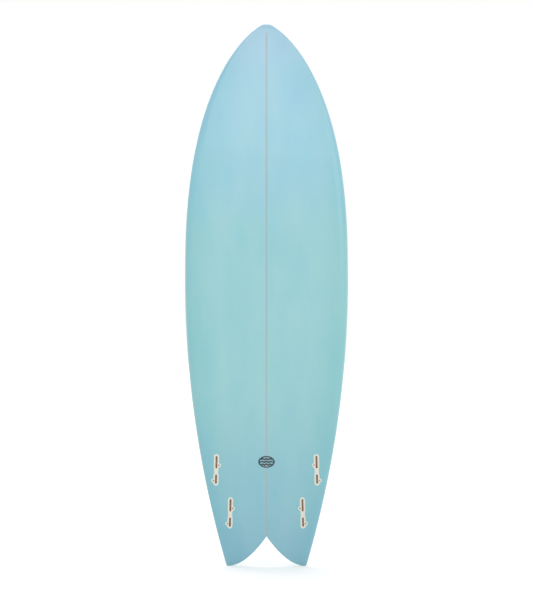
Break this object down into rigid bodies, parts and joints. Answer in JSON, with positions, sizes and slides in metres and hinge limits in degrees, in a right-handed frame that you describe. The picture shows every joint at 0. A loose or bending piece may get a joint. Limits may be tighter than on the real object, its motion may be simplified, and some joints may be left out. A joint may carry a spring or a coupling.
{
  "type": "surfboard",
  "caption": "Upright swallow-tail surfboard with a full nose, tinted glossy glass, a timber spine, empty two-bay fin boxes and a leash plug in the deck.",
  "frame": {"origin": "midway between the two tail tips, at the foot of the board's box", "axes": "+Z from tail to nose, -Y out of the deck, +Y out of the bottom, +X to the starboard rail"},
  "size_m": [0.5468, 0.1215, 1.829],
  "materials": {
    "foam": "matte",
    "timber": "satin",
    "tinted_laminate": "polished",
    "label_ink": "polished",
    "fitting_plastic": "satin",
    "bed_resin": "satin",
    "steel": "satin"
  },
  "bodies": {
    "board": {"fin_box_front_port": "fitting_plastic", "fin_box_front_port_bed": "bed_resin", "fin_box_front_starboard": "fitting_plastic", "fin_box_front_starboard_bed": "bed_resin", "fin_box_rear_port": "fitting_plastic", "fin_box_rear_port_bed": "bed_resin", "fin_box_rear_starboard": "fitting_plastic", "fin_box_rear_starboard_bed": "bed_resin", "leash_plug_cup": "fitting_plastic", "leash_plug_pin": "steel", "leash_plug_bed": "bed_resin", "foam_port_half": "foam", "foam_starboard_half": "foam", "stringer": "timber", "deck_label": "label_ink", "bottom_label": "label_ink", "bottom_laminate": "tinted_laminate", "deck_inlay": "tinted_laminate", "deck_laminate": "tinted_laminate", "bottom_fill_coat": "tinted_laminate"},
    "fin_box_front_port_screw_front": {"fin_box_front_port_screw_front": "steel"},
    "fin_box_front_port_screw_rear": {"fin_box_front_port_screw_rear": "steel"},
    "fin_box_front_starboard_screw_front": {"fin_box_front_starboard_screw_front": "steel"},
    "fin_box_front_starboard_screw_rear": {"fin_box_front_starboard_screw_rear": "steel"},
    "fin_box_rear_port_screw_front": {"fin_box_rear_port_screw_front": "steel"},
    "fin_box_rear_port_screw_rear": {"fin_box_rear_port_screw_rear": "steel"},
    "fin_box_rear_starboard_screw_front": {"fin_box_rear_starboard_screw_front": "steel"},
    "fin_box_rear_starboard_screw_rear": {"fin_box_rear_starboard_screw_rear": "steel"}
  },
  "joints": [
    {"name": "fin_box_front_port_screw_front_travel", "type": "slide", "parent": "board", "child": "fin_box_front_port_screw_front", "axis": [-0.3419, -0.9334, 0.109], "range_m": [-0.001, 0.003]},
    {"name": "fin_box_front_port_screw_rear_travel", "type": "slide", "parent": "board", "child": "fin_box_front_port_screw_rear", "axis": [0.3419, -0.9355, 0.0889], "range_m": [-0.001, 0.003]},
    {"name": "fin_box_front_starboard_screw_front_travel", "type": "slide", "parent": "board", "child": "fin_box_front_starboard_screw_front", "axis": [0.3419, -0.9334, 0.109], "range_m": [-0.001, 0.003]},
    {"name": "fin_box_front_starboard_screw_rear_travel", "type": "slide", "parent": "board", "child": "fin_box_front_starboard_screw_rear", "axis": [-0.3419, -0.9355, 0.0889], "range_m": [-0.001, 0.003]},
    {"name": "fin_box_rear_port_screw_front_travel", "type": "slide", "parent": "board", "child": "fin_box_rear_port_screw_front", "axis": [-0.3419, -0.9295, 0.1383], "range_m": [-0.001, 0.003]},
    {"name": "fin_box_rear_port_screw_rear_travel", "type": "slide", "parent": "board", "child": "fin_box_rear_port_screw_rear", "axis": [0.3419, -0.9323, 0.1182], "range_m": [-0.001, 0.003]},
    {"name": "fin_box_rear_starboard_screw_front_travel", "type": "slide", "parent": "board", "child": "fin_box_rear_starboard_screw_front", "axis": [0.3419, -0.9295, 0.1383], "range_m": [-0.001, 0.003]},
    {"name": "fin_box_rear_starboard_screw_rear_travel", "type": "slide", "parent": "board", "child": "fin_box_rear_starboard_screw_rear", "axis": [-0.3419, -0.9323, 0.1182], "range_m": [-0.001, 0.003]}
  ]
}
